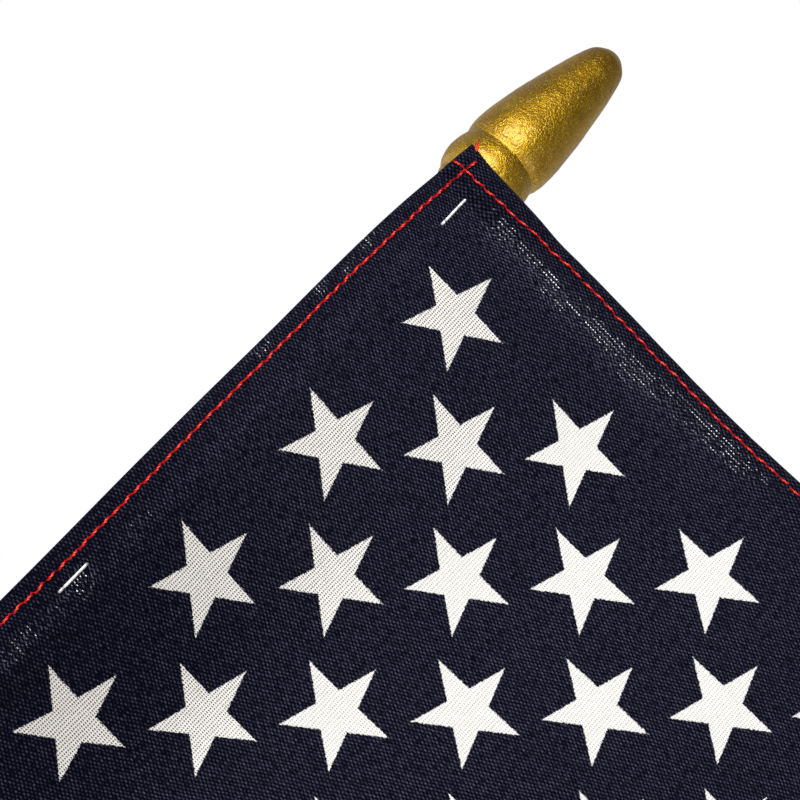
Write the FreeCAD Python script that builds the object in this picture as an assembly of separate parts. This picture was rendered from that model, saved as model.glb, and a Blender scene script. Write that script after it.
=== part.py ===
import FreeCAD, Part
import math
import os

# A small cotton flag on a wooden stick, standing in a weighted desk base.
# Millimetres, +Z up. The origin is the centre of the base's underside and the stick stands on the
# Z axis. The flag flies towards +X and its printed face looks along -Y.

os.makedirs("parts", exist_ok=True)
Vector = FreeCAD.Vector

# Flag and stick: a 12 x 18 in stick flag on a 3/8 in dowel 24 in long
FLAG_HEIGHT = 304.8
FLAG_LENGTH = 457.2
CLOTH = 0.3
HEM_LAYERS = 3
HEM_WIDTH = 6.0
STICK_RADIUS = 4.75
STICK_LENGTH = 609.6
SLIDE_CLEARANCE = 0.05

# Base and its fittings
FELT_RADIUS = 58.5
FELT_THICKNESS = 1.5
BASE_RADIUS = 60.0
BASE_HEIGHT = 30.0
BALLAST_RADIUS = 42.0
BALLAST_THICKNESS = 8.0
BALLAST_GAP = 1.0
SOCKET_DEPTH = 18.0
SOCKET_COLLAR = 14.0
SOCKET_WALL = 1.05
FLANGE_RADIUS = 20.0
FLANGE_THICKNESS = 2.0
BUSH_WALL = 0.6
BUSH_FLOOR = 1.4
BUSH_LIP_RADIUS = 7.1
BUSH_LIP = 1.2

# Levels, from the desk up
BASE_BOTTOM_Z = FELT_THICKNESS
BASE_TOP_Z = BASE_BOTTOM_Z + BASE_HEIGHT
BALLAST_TOP_Z = BASE_BOTTOM_Z + BALLAST_THICKNESS + BALLAST_GAP
SOCKET_FLOOR_Z = BASE_TOP_Z - SOCKET_DEPTH
COLLAR_TOP_Z = BASE_TOP_Z + SOCKET_COLLAR
STICK_FOOT_Z = SOCKET_FLOOR_Z + SLIDE_CLEARANCE + BUSH_FLOOR + SLIDE_CLEARANCE
STICK_TOP_Z = STICK_FOOT_Z + STICK_LENGTH

# Spear tip: a bead, a neck groove, a barrel and a taper with a round nose
TIP_SOCKET = 14.0
TIP_BEAD = 10.8
TIP_LENGTH = 30.4
TIP_RADIUS = 8.33
TIP_NECK_RADIUS = 7.85
BEAD_BOTTOM_Z = STICK_TOP_Z - TIP_SOCKET
NECK_Z = BEAD_BOTTOM_Z + TIP_BEAD

# Staples that hold the cloth to the front of the stick
STAPLE_COUNT = 4
STAPLE_PITCH = 91.5
STAPLE_CROWN = 7.07
STAPLE_WIRE = 0.5
STAPLE_LEG = 6.0
STAPLE_X = 0.5
TOP_STAPLE_Z = NECK_Z - 14.8

# Where the cloth lies
CLOTH_TOP_Z = TOP_STAPLE_Z + 9.9
CLOTH_BOTTOM_Z = CLOTH_TOP_Z - FLAG_HEIGHT
HOIST_X = -7.5
FLY_X = HOIST_X + FLAG_LENGTH
HEM = CLOTH * HEM_LAYERS
HEM_INNER_X = HOIST_X + HEM_WIDTH

# The cloth bends on a line beside the stick, and its top corner is lifted over the bead
BEND_X = 10.0
BEND_GAP = 0.8
STRIP_END_X = BEND_X - BEND_GAP
FIELD_START_X = BEND_X + BEND_GAP
LIFT = 4.4
LIFT_START_Z = CLOTH_TOP_Z - 7.4
LIFT_STEPS = 8
LIFT_FADE_X = 3.0
FADE_STEPS = 4
SEAM_BEND_GAP = 1.0
LIFT_END_X = STRIP_END_X - SEAM_BEND_GAP

# Red lockstitch: a needle thread on the face and a bobbin thread between the hem and the stick
THREAD = 0.4
THREAD_LIFT = 0.03
HEM_BACK_Y = -STICK_RADIUS - THREAD - 2 * THREAD_LIFT
FACE_Y = HEM_BACK_Y - HEM
HOIST_SEAM = 3.0
EDGE_SEAM = 2.5
TOP_SEAM_Z = CLOTH_TOP_Z - EDGE_SEAM
BOTTOM_SEAM_Z = CLOTH_BOTTOM_Z + EDGE_SEAM
HOIST_SEAM_X = HOIST_X + HOIST_SEAM
FLY_SEAM_X = FLY_X - EDGE_SEAM

# Countersunk screws
BALLAST_SCREWS = {"count": 4, "circle": 30.0, "shank": 2.0, "head": 4.0, "length": 16.0}
FLANGE_SCREWS = {"count": 3, "circle": 14.2, "shank": 1.3, "head": 2.6, "length": 12.0}
SCREW_POINT_SHARE = 1.5
CROSS_WIDTH_SHARE = 0.11
CROSS_REACH_SHARE = 0.6
CROSS_DEPTH_SHARE = 0.45


def save(node, *solids):
    """Writes one node. Several separate solids go out as a group."""
    shape = solids[0] if len(solids) == 1 else Part.makeCompound(list(solids))
    shape.exportStep(f"parts/{node}.step")


def block(x_range, y_range, z_range):
    """A box between two values on each axis."""
    size = [high - low for low, high in (x_range, y_range, z_range)]
    return Part.makeBox(*size, Vector(x_range[0], y_range[0], z_range[0]))


def polyline(points):
    """Straight edges through (radius, z) points."""
    corners = [Vector(r, 0, z) for r, z in points]
    return [Part.makeLine(a, b) for a, b in zip(corners, corners[1:])]


def curve(points):
    """One smooth edge through (radius, z) points."""
    spline = Part.BSplineCurve()
    spline.interpolate([Vector(r, 0, z) for r, z in points])
    return [spline.toShape()]


def arc(start, middle, end):
    """A circular edge through three (radius, z) points."""
    points = [Vector(r, 0, z) for r, z in (start, middle, end)]
    return [Part.Arc(*points).toShape()]


def turned(edges):
    """A solid of revolution about the Z axis from the edges of its half section."""
    wire = Part.Wire(Part.__sortEdges__(edges))
    return Part.Face(wire).revolve(Vector(0, 0, 0), Vector(0, 0, 1), 360)


def turned_polygon(points):
    """A solid of revolution from the straight-sided outline of its half section."""
    return turned(polyline(points + points[:1]))


def round_bar(radius, z_low, z_high):
    """A cylinder on the Z axis."""
    return Part.makeCylinder(radius, z_high - z_low, Vector(0, 0, z_low))


# ---- Base -----------------------------------------------------------------------------------------

def screw_space(spec):
    """The hole that a countersunk screw fills, with its mouth at z = 0 and its point along +Z."""
    head, shank, length = spec["head"], spec["shank"], spec["length"]
    tip = shank * SCREW_POINT_SHARE
    return turned_polygon(
        [(0, 0), (head, 0), (shank, head - shank), (shank, length - tip), (0, length)]
    )


def screw(spec):
    """The same countersunk screw, with a cross recess in its head."""
    half = spec["head"] * CROSS_WIDTH_SHARE
    reach = spec["head"] * CROSS_REACH_SHARE
    depth = (0, (spec["head"] - spec["shank"]) * CROSS_DEPTH_SHARE)
    slot_x = block((-reach, reach), (-half, half), depth)
    slot_y = block((-half, half), (-reach, reach), depth)
    return screw_space(spec).cut(slot_x.fuse(slot_y))


def on_circle(solid, spec, z, point_down):
    """Copies of a screw evenly round its circle, with the head's flat at z."""
    copies = []
    for index in range(spec["count"]):
        copy = solid.copy()
        if point_down:
            copy.rotate(Vector(0, 0, 0), Vector(1, 0, 0), 180)
        copy.translate(Vector(spec["circle"], 0, z))
        copy.rotate(Vector(0, 0, 0), Vector(0, 0, 1), 360 * (index + 0.5) / spec["count"])
        copies.append(copy)
    return copies


def felt_pad():
    """The disc glued under the base so that it doesn't scratch the desk."""
    return round_bar(FELT_RADIUS, 0, FELT_THICKNESS)


def ballast_disc():
    """The steel weight in the recess under the base."""
    solid = round_bar(BALLAST_RADIUS, BALLAST_TOP_Z - BALLAST_THICKNESS, BALLAST_TOP_Z)
    return solid.cut(Part.makeCompound(ballast_screw_spaces))


def base():
    """The turned wooden foot: plinth, ovolo, a long cove and a rounded top."""
    plinth_top = BASE_BOTTOM_Z + 7.0
    ovolo_top = plinth_top + 5.5
    cove_top = BASE_TOP_Z - 3.0
    cove_radius = 27.0
    edges = polyline(
        [(0, BASE_TOP_Z), (0, BASE_BOTTOM_Z), (BASE_RADIUS - 1, BASE_BOTTOM_Z),
         (BASE_RADIUS, BASE_BOTTOM_Z + 1), (BASE_RADIUS, plinth_top), (57.5, plinth_top)]
    )
    edges += arc((57.5, plinth_top), (56.0, plinth_top + 4.0), (52.0, ovolo_top))
    edges += polyline([(52.0, ovolo_top), (50.5, ovolo_top)])
    edges += arc((50.5, ovolo_top), (36.0, ovolo_top + 4.6), (cove_radius, cove_top))
    edges += polyline([(cove_radius, cove_top), (cove_radius, cove_top + 0.8)])
    edges += arc(
        (cove_radius, cove_top + 0.8),
        (cove_radius - 0.7, BASE_TOP_Z - 0.7),
        (cove_radius - 2.4, BASE_TOP_Z),
    )
    edges += polyline([(cove_radius - 2.4, BASE_TOP_Z), (0, BASE_TOP_Z)])
    recess = round_bar(BALLAST_RADIUS + BALLAST_GAP, BASE_BOTTOM_Z, BALLAST_TOP_Z)
    socket = round_bar(socket_radius + SLIDE_CLEARANCE, SOCKET_FLOOR_Z, BASE_TOP_Z)
    holes = Part.makeCompound(ballast_screw_spaces + flange_screw_spaces)
    return turned(edges).cut(recess).cut(socket).cut(holes)


def socket_flange():
    """The brass socket: a tube let into the base, with a screwed flange and a rolled rim."""
    flange_top = BASE_TOP_Z + FLANGE_THICKNESS
    rim = 0.9
    edges = polyline(
        [(socket_bore, COLLAR_TOP_Z), (socket_bore, SOCKET_FLOOR_Z), (socket_radius, SOCKET_FLOOR_Z),
         (socket_radius, BASE_TOP_Z), (FLANGE_RADIUS, BASE_TOP_Z), (FLANGE_RADIUS, flange_top - 0.9)]
    )
    edges += arc(
        (FLANGE_RADIUS, flange_top - 0.9),
        (FLANGE_RADIUS - 0.3, flange_top - 0.25),
        (FLANGE_RADIUS - 1.2, flange_top),
    )
    edges += polyline([(FLANGE_RADIUS - 1.2, flange_top), (socket_radius + 2.2, flange_top)])
    edges += arc(
        (socket_radius + 2.2, flange_top),
        (socket_radius + 0.65, flange_top + 0.65),
        (socket_radius, flange_top + 2.2),
    )
    edges += polyline([(socket_radius, flange_top + 2.2), (socket_radius, COLLAR_TOP_Z - 2 * rim)])
    edges += arc(
        (socket_radius, COLLAR_TOP_Z - 2 * rim),
        (socket_radius + rim, COLLAR_TOP_Z - rim),
        (socket_radius, COLLAR_TOP_Z),
    )
    edges += polyline([(socket_radius, COLLAR_TOP_Z), (socket_bore, COLLAR_TOP_Z)])
    return turned(edges).cut(Part.makeCompound(flange_screw_spaces))


def socket_bush():
    """The nylon sleeve that turns in the brass socket and holds the stick's foot."""
    inner = STICK_RADIUS + SLIDE_CLEARANCE
    outer = inner + BUSH_WALL
    floor = SOCKET_FLOOR_Z + SLIDE_CLEARANCE
    lip_top = COLLAR_TOP_Z + BUSH_LIP
    return turned_polygon(
        [(0, floor), (outer, floor), (outer, COLLAR_TOP_Z), (BUSH_LIP_RADIUS, COLLAR_TOP_Z),
         (BUSH_LIP_RADIUS, lip_top - 0.4), (BUSH_LIP_RADIUS - 0.4, lip_top), (inner, lip_top),
         (inner, floor + BUSH_FLOOR), (0, floor + BUSH_FLOOR)]
    )


# ---- Stick, tip and staples -----------------------------------------------------------------------

def staple(z, wire_radius):
    """A staple with its crown upright on the face of the cloth and its legs into the stick."""
    half = (STAPLE_CROWN - STAPLE_WIRE) / 2
    crown_y = FACE_Y - STAPLE_WIRE / 2
    bend = STAPLE_WIRE
    legs = []
    for side in (-1, 1):
        foot = Vector(STAPLE_X, crown_y + STAPLE_WIRE, z + side * half)
        legs.append(Part.makeCylinder(wire_radius, STAPLE_LEG, foot, Vector(0, 1, 0)))
    straight = 2 * (half - bend)
    start = Vector(STAPLE_X, crown_y, z - half + bend)
    crown = Part.makeCylinder(wire_radius, straight, start, Vector(0, 0, 1))
    corners = []
    for side in (-1, 1):
        section = Part.Face(Part.Wire(Part.makeCircle(
            wire_radius, Vector(STAPLE_X, crown_y, z + side * (half - bend)), Vector(0, 0, 1))))
        hub = Vector(STAPLE_X, crown_y + bend, z + side * (half - bend))
        corners.append(section.revolve(hub, Vector(1, 0, 0), -90 * side))
    return crown.multiFuse(legs + corners).removeSplitter()


def stick():
    """The dowel, chamfered at both ends, with the holes the staple legs make."""
    chamfer = 0.8
    dowel = turned_polygon(
        [(0, STICK_FOOT_Z), (STICK_RADIUS - chamfer, STICK_FOOT_Z), (STICK_RADIUS, STICK_FOOT_Z + chamfer),
         (STICK_RADIUS, STICK_TOP_Z - chamfer), (STICK_RADIUS - chamfer, STICK_TOP_Z), (0, STICK_TOP_Z)]
    )
    return dowel.cut(Part.makeCompound(staple_spaces))


def spear_tip():
    """The turned wooden tip, glued over the end of the stick."""
    bore = STICK_RADIUS + SLIDE_CLEARANCE
    barrel_end = NECK_Z + 10.5
    barrel_end_radius = 7.69
    taper_end = NECK_Z + 26.4
    nose_radius = 4.42
    top_z = NECK_Z + TIP_LENGTH
    bore_top = STICK_TOP_Z + SLIDE_CLEARANCE
    edges = polyline(
        [(0, top_z), (0, bore_top), (bore, bore_top), (bore, BEAD_BOTTOM_Z), (5.1, BEAD_BOTTOM_Z)]
    )
    edges += curve(
        [(5.1, BEAD_BOTTOM_Z), (6.9, NECK_Z - 9.3), (8.05, NECK_Z - 7.0), (TIP_RADIUS, NECK_Z - 4.2),
         (TIP_NECK_RADIUS, NECK_Z - 0.1)]
    )
    edges += polyline([(TIP_NECK_RADIUS, NECK_Z - 0.1), (TIP_NECK_RADIUS, NECK_Z + 0.1)])
    edges += curve(
        [(TIP_NECK_RADIUS, NECK_Z + 0.1), (TIP_RADIUS, NECK_Z + 3.6), (8.18, NECK_Z + 6.7),
         (barrel_end_radius, barrel_end)]
    )
    edges += polyline([(barrel_end_radius, barrel_end), (nose_radius, taper_end)])
    edges += curve([(nose_radius, taper_end), (3.75, NECK_Z + 28.0), (2.2, NECK_Z + 29.7), (0, top_z)])
    return turned(edges)


# ---- Cloth and thread -----------------------------------------------------------------------------

def face_y(x, z):
    """Y of the printed face of the hoist strip: flat on the stick, then lifted over the bead."""
    rise = min(1.0, max(0.0, (z - LIFT_START_Z) / (CLOTH_TOP_Z - LIFT_START_Z)))
    fade = min(1.0, max(0.0, (x - LIFT_FADE_X) / (LIFT_END_X - LIFT_FADE_X)))
    spread = 1 - fade * fade * (3 - 2 * fade)
    return FACE_Y - LIFT * spread * math.sin(rise * math.pi / 2)


def loft_along_x(x_values, section):
    """A solid through the closed (y, z) sections at several x values."""
    wires = [Part.makePolygon([Vector(x, y, z) for y, z in section(x) + section(x)[:1]]) for x in x_values]
    return Part.makeLoft(wires, True, True)


def lift_levels():
    """Heights at which the lifted corner is sampled, from the bend's start to the top edge."""
    step = (CLOTH_TOP_Z - LIFT_START_Z) / LIFT_STEPS
    return [LIFT_START_Z + index * step for index in range(LIFT_STEPS + 1)]


def fade_stations():
    """x values from the hem to where the lift has died away, closer together as it does."""
    step = (LIFT_END_X - LIFT_FADE_X) / FADE_STEPS
    return [HEM_INNER_X] + [LIFT_FADE_X + index * step for index in range(FADE_STEPS + 1)]


def hem_section(x):
    """Three layers from edge to edge."""
    levels = [CLOTH_BOTTOM_Z] + lift_levels()
    front = [(face_y(x, z), z) for z in levels]
    return front + [(y + HEM, z) for y, z in reversed(front)]


def sheet_section(x):
    """One layer, with three-layer hems at the top and bottom edges."""
    levels = [CLOTH_BOTTOM_Z] + lift_levels()
    front = [(face_y(x, z), z) for z in levels]
    hem_line = CLOTH_TOP_Z - HEM_WIDTH
    hem_back = [(face_y(x, z) + HEM, z) for z in reversed(levels) if z > hem_line]
    steps = [
        (face_y(x, hem_line) + HEM, hem_line),
        (face_y(x, hem_line) + CLOTH, hem_line),
        (FACE_Y + CLOTH, LIFT_START_Z),
        (FACE_Y + CLOTH, CLOTH_BOTTOM_Z + HEM_WIDTH),
        (FACE_Y + HEM, CLOTH_BOTTOM_Z + HEM_WIDTH),
        (FACE_Y + HEM, CLOTH_BOTTOM_Z),
    ]
    return front + hem_back + steps


def flag_hoist_edge():
    """The strip of cloth stapled to the stick, with its folded hem."""
    hem = loft_along_x([HOIST_X, HEM_INNER_X], hem_section)
    sheet = loft_along_x(fade_stations() + [STRIP_END_X], sheet_section)
    return hem.fuse(sheet).removeSplitter().cut(Part.makeCompound(staple_spaces))


def flag_field():
    """The free part of the cloth, hemmed along the top, bottom and fly edges."""
    sheet = block((FIELD_START_X, FLY_X), (FACE_Y, FACE_Y + CLOTH), (CLOTH_BOTTOM_Z, CLOTH_TOP_Z))
    fold = (FACE_Y + CLOTH, FACE_Y + HEM)
    top = block((FIELD_START_X, FLY_X), fold, (CLOTH_TOP_Z - HEM_WIDTH, CLOTH_TOP_Z))
    bottom = block((FIELD_START_X, FLY_X), fold, (CLOTH_BOTTOM_Z, CLOTH_BOTTOM_Z + HEM_WIDTH))
    fly = block((FLY_X - HEM_WIDTH, FLY_X), fold, (CLOTH_BOTTOM_Z, CLOTH_TOP_Z))
    return sheet.multiFuse([top, bottom, fly]).removeSplitter()


def thread_depths():
    """Y ranges of a thread on the flat cloth: (on the face, on the back of the hem)."""
    front = (FACE_Y - THREAD_LIFT - THREAD, FACE_Y - THREAD_LIFT)
    back = (HEM_BACK_Y + THREAD_LIFT, HEM_BACK_Y + THREAD_LIFT + THREAD)
    return front, back


def upright_thread(x, side_y, z_low, z_high):
    """A straight thread up the flat cloth at x."""
    return block((x - THREAD / 2, x + THREAD / 2), side_y, (z_low, z_high))


def level_thread(side_y, z):
    """A straight thread along the free part of the cloth at height z."""
    return block((FIELD_START_X + SEAM_BEND_GAP, FLY_X), side_y, (z - THREAD / 2, z + THREAD / 2))


def hoist_thread(offset):
    """The hoist seam's thread, following the lifted corner up to the top seam."""
    top = TOP_SEAM_Z - THREAD
    levels = [BOTTOM_SEAM_Z + THREAD] + [z for z in lift_levels() if z < top] + [top]

    def section(x):
        side = [(face_y(x, z) + offset, z) for z in levels]
        return side + [(y + THREAD, z) for y, z in reversed(side)]

    return loft_along_x([HOIST_SEAM_X - THREAD / 2, HOIST_SEAM_X + THREAD / 2], section)


def corner_thread(offset, z):
    """The first stitches of an edge seam, from the hoist edge to just before the bend line."""

    def section(x):
        side = [(face_y(x, level) + offset, level) for level in (z - THREAD / 2, z + THREAD / 2)]
        return side + [(y + THREAD, level) for y, level in reversed(side)]

    return loft_along_x([HOIST_X] + fade_stations(), section)


# ---- The whole object -----------------------------------------------------------------------------

socket_bore = STICK_RADIUS + BUSH_WALL + 2 * SLIDE_CLEARANCE
socket_radius = socket_bore + SOCKET_WALL
ballast_screw_z = BALLAST_TOP_Z - BALLAST_THICKNESS
flange_screw_z = BASE_TOP_Z + FLANGE_THICKNESS
ballast_screw_spaces = on_circle(screw_space(BALLAST_SCREWS), BALLAST_SCREWS, ballast_screw_z, False)
flange_screw_spaces = on_circle(screw_space(FLANGE_SCREWS), FLANGE_SCREWS, flange_screw_z, True)
staple_levels = [TOP_STAPLE_Z - index * STAPLE_PITCH for index in range(STAPLE_COUNT)]
staple_spaces = [staple(z, STAPLE_WIRE / 2 + 0.02) for z in staple_levels]

save("felt_pad", felt_pad())
save("ballast_disc", ballast_disc())
save("ballast_screws", *on_circle(screw(BALLAST_SCREWS), BALLAST_SCREWS, ballast_screw_z, False))
save("base", base())
save("socket_flange", socket_flange())
save("flange_screws", *on_circle(screw(FLANGE_SCREWS), FLANGE_SCREWS, flange_screw_z, True))
save("socket_bush", socket_bush())
save("stick", stick())
save("spear_tip", spear_tip())
save("staples", *[staple(z, STAPLE_WIRE / 2) for z in staple_levels])
save("flag_hoist_edge", flag_hoist_edge())
save("flag_field", flag_field())

front_depth, back_depth = thread_depths()
front_offset = -THREAD_LIFT - THREAD
back_offset = HEM + THREAD_LIFT
fly_span = (BOTTOM_SEAM_Z + THREAD, TOP_SEAM_Z - THREAD)
for name, depth, offset in (("needle", front_depth, front_offset), ("bobbin", back_depth, back_offset)):
    save(f"hoist_{name}_thread", hoist_thread(offset))
    save(f"top_{name}_thread", level_thread(depth, TOP_SEAM_Z))
    save(f"bottom_{name}_thread", level_thread(depth, BOTTOM_SEAM_Z))
    save(f"fly_{name}_thread", upright_thread(FLY_SEAM_X, depth, *fly_span))
offsets = (front_offset, back_offset)
corners = [corner_thread(offset, z) for offset in offsets for z in (TOP_SEAM_Z, BOTTOM_SEAM_Z)]
save("corner_stitches", *corners)
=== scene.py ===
import math
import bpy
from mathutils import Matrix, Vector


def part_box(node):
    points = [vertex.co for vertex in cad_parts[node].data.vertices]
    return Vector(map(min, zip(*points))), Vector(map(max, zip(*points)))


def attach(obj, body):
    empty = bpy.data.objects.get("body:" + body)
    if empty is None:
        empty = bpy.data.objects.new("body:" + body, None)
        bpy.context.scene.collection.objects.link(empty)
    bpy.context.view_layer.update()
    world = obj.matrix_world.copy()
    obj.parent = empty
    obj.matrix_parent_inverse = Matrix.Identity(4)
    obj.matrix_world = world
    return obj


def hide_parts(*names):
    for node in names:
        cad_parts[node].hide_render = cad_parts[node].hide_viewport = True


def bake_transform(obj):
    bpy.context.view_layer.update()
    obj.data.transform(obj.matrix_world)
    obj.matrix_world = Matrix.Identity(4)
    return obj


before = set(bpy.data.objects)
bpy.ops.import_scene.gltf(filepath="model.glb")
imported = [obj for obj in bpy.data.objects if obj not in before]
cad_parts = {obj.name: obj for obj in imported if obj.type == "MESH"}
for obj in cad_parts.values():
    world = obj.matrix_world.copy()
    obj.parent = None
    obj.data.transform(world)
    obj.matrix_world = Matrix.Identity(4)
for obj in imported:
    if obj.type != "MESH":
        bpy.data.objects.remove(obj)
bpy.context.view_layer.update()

from types import SimpleNamespace

import bpy
import numpy as np
from mathutils import Matrix, Vector

# A desk flag: a printed cotton sheet stapled to a stick with a gold tip, standing in a turned base.
# Lengths are millimetres until a mesh is made; the frame is in metres. The stick stands on the
# Z axis, the flag flies towards +X and its printed face looks along -Y. On the cloth, u is the
# distance from the hoist edge and v is the distance from the top edge.
MM = 0.001
TURN = 2 * math.pi
rng = np.random.default_rng(12)

# ---- Places from the frame --------------------------------------------------------------------------


def node_box(node):
    """Lowest and highest corner of a CAD node."""
    low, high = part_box(node)
    return np.array(low) / MM, np.array(high) / MM


strip_low, _ = node_box("flag_hoist_edge")
field_low, field_high = node_box("flag_field")
stick_low, stick_high = node_box("stick")
tip_low, _ = node_box("spear_tip")
staple_low, staple_high = node_box("staples")

HOIST_X = strip_low[0]
FACE_Y = field_low[1]
CLOTH_TOP = field_high[2]
FLAG_HEIGHT = field_high[2] - field_low[2]
FLAG_LENGTH = field_high[0] - HOIST_X
STICK_RADIUS = stick_high[0]
STAPLE_CROWN = 7.07
STAPLE_X = (staple_low[0] + staple_high[0]) / 2
TOP_STAPLE_Z = staple_high[2] - STAPLE_CROWN / 2
LOW_STAPLE_Z = staple_low[2] + STAPLE_CROWN / 2
TIP_BEAD_LENGTH = 10.8
NECK_Z = tip_low[2] + TIP_BEAD_LENGTH

# ---- Mesh helpers -----------------------------------------------------------------------------------


def make_piece(name, points, faces, material):
    """A smooth mesh object from millimetre points."""
    mesh = bpy.data.meshes.new(name)
    mesh.from_pydata((np.asarray(points, float) * MM).tolist(), [], faces)
    mesh.polygons.foreach_set("use_smooth", [True] * len(mesh.polygons))
    mesh.materials.append(material)
    mesh.validate()
    piece = bpy.data.objects.new(name, mesh)
    bpy.context.scene.collection.objects.link(piece)
    return piece


def store(piece, name, values):
    """A number for each point of a piece, for its material to read."""
    layer = piece.data.attributes.new(name, "FLOAT", "POINT")
    spread = np.broadcast_to(values, len(piece.data.vertices))
    layer.data.foreach_set("value", spread.astype(np.float32))


def grid_faces(rows, columns, start=0, wrap=False, flip=False):
    """Quads over a grid of points stored row by row; wrap joins the last column to the first."""
    r = np.arange(rows - 1)[:, None]
    c = np.arange(columns if wrap else columns - 1)[None, :]
    a = start + r * columns + c
    b = start + r * columns + (c + 1) % columns
    quads = np.stack([a, b, b + columns, a + columns], -1).reshape(-1, 4)
    return (quads[:, ::-1] if flip else quads).tolist()


def capped_tube_faces(rows, columns):
    """The faces of a closed tube of rings, with an end cap on each side."""
    last = (rows - 1) * columns
    caps = [list(range(columns))[::-1], [last + k for k in range(columns)]]
    return grid_faces(rows, columns, wrap=True) + caps


def smooth_noise(points, scale, seed, octaves=3):
    """Sum-of-sines noise of about unit size, the same on every run."""
    source = np.random.default_rng(seed)
    total = np.zeros(len(points))
    for octave in range(octaves):
        for _ in range(6):
            direction = source.normal(size=points.shape[1])
            direction *= 2 ** octave / (scale * np.linalg.norm(direction))
            phase = source.uniform(0, 6.283)
            total += np.sin(points @ direction * TURN + phase) / 2 ** octave
    return total / 3


def lathe(name, outline, segments, material, wobble):
    """A turned piece from (radius, z) points; wobble(points) moves each point outwards a little."""
    angles = np.linspace(0, TURN, segments, endpoint=False)
    radii, levels = np.array(outline, float).T
    x = np.outer(radii, np.cos(angles))
    y = np.outer(radii, np.sin(angles))
    z = np.repeat(levels[:, None], segments, 1)
    points = np.stack([x, y, z], -1).reshape(-1, 3)
    outward = points * [1, 1, 0]
    outward /= np.maximum(np.linalg.norm(outward, axis=1), 0.001)[:, None]
    points = points + outward * wobble(points)[:, None]
    return make_piece(name, points, capped_tube_faces(len(radii), segments), material)


def spline_points(knots, count):
    """A smooth curve through (radius, z) knots, with count points between two of them."""
    knots = np.array(knots, float)
    padded = np.vstack([2 * knots[0] - knots[1], knots, 2 * knots[-1] - knots[-2]])
    result = []
    for i in range(1, len(padded) - 2):
        p0, p1, p2, p3 = padded[i - 1:i + 3]
        slope = p2 - p0
        bend = 2 * p0 - 5 * p1 + 4 * p2 - p3
        twist = 3 * p1 - p0 - 3 * p2 + p3
        for t in np.linspace(0, 1, count, endpoint=False):
            result.append(tuple(0.5 * (2 * p1 + slope * t + bend * t ** 2 + twist * t ** 3)))
    return result + [tuple(knots[-1])]


def bell(x, centre, width):
    """1 at the centre, falling off smoothly to both sides."""
    return np.exp(-((x - centre) / width) ** 2)


def ease(x, low, high):
    """0 below low, 1 above high, smooth between."""
    t = np.clip((x - low) / (high - low), 0, 1)
    return t * t * (3 - 2 * t)


def wave(x, length):
    """A cosine of the given wavelength."""
    return np.cos(TURN * x / length)


# ---- Shader helpers ---------------------------------------------------------------------------------


class Value:
    """A shader value that builds Math nodes when it is used in sums."""

    def __init__(self, shader, socket):
        self.shader = shader
        self.socket = socket

    def op(self, kind, other=None):
        """The result of one Math node."""
        node = self.shader.tree.nodes.new("ShaderNodeMath")
        node.operation = kind
        for slot, item in zip(node.inputs, (self, other)):
            if item is not None:
                self.shader.feed(slot, item)
        return Value(self.shader, node.outputs[0])

    def __add__(self, other):
        return self.op("ADD", other)

    def __sub__(self, other):
        return self.op("SUBTRACT", other)

    def __mul__(self, other):
        return self.op("MULTIPLY", other)

    def __truediv__(self, other):
        return self.op("DIVIDE", other)

    def __neg__(self):
        return self.op("MULTIPLY", -1.0)

    def rest(self):
        """What is left of 1."""
        return self * -1.0 + 1.0

    def clamp(self):
        """Held between 0 and 1."""
        return self.op("MAXIMUM", 0.0).op("MINIMUM", 1.0)

    def ramp(self, low, high):
        """0 below low, 1 above high, smooth between; the other way round if high is lower."""
        t = ((self - low) / (high - low)).clamp()
        return t * t * (t * -2.0 + 3.0)

    def within(self, low, high, soft):
        """1 between low and high, with soft edges."""
        return self.ramp(low - soft, low + soft) * (self * -1.0).ramp(-high - soft, -high + soft)


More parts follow.
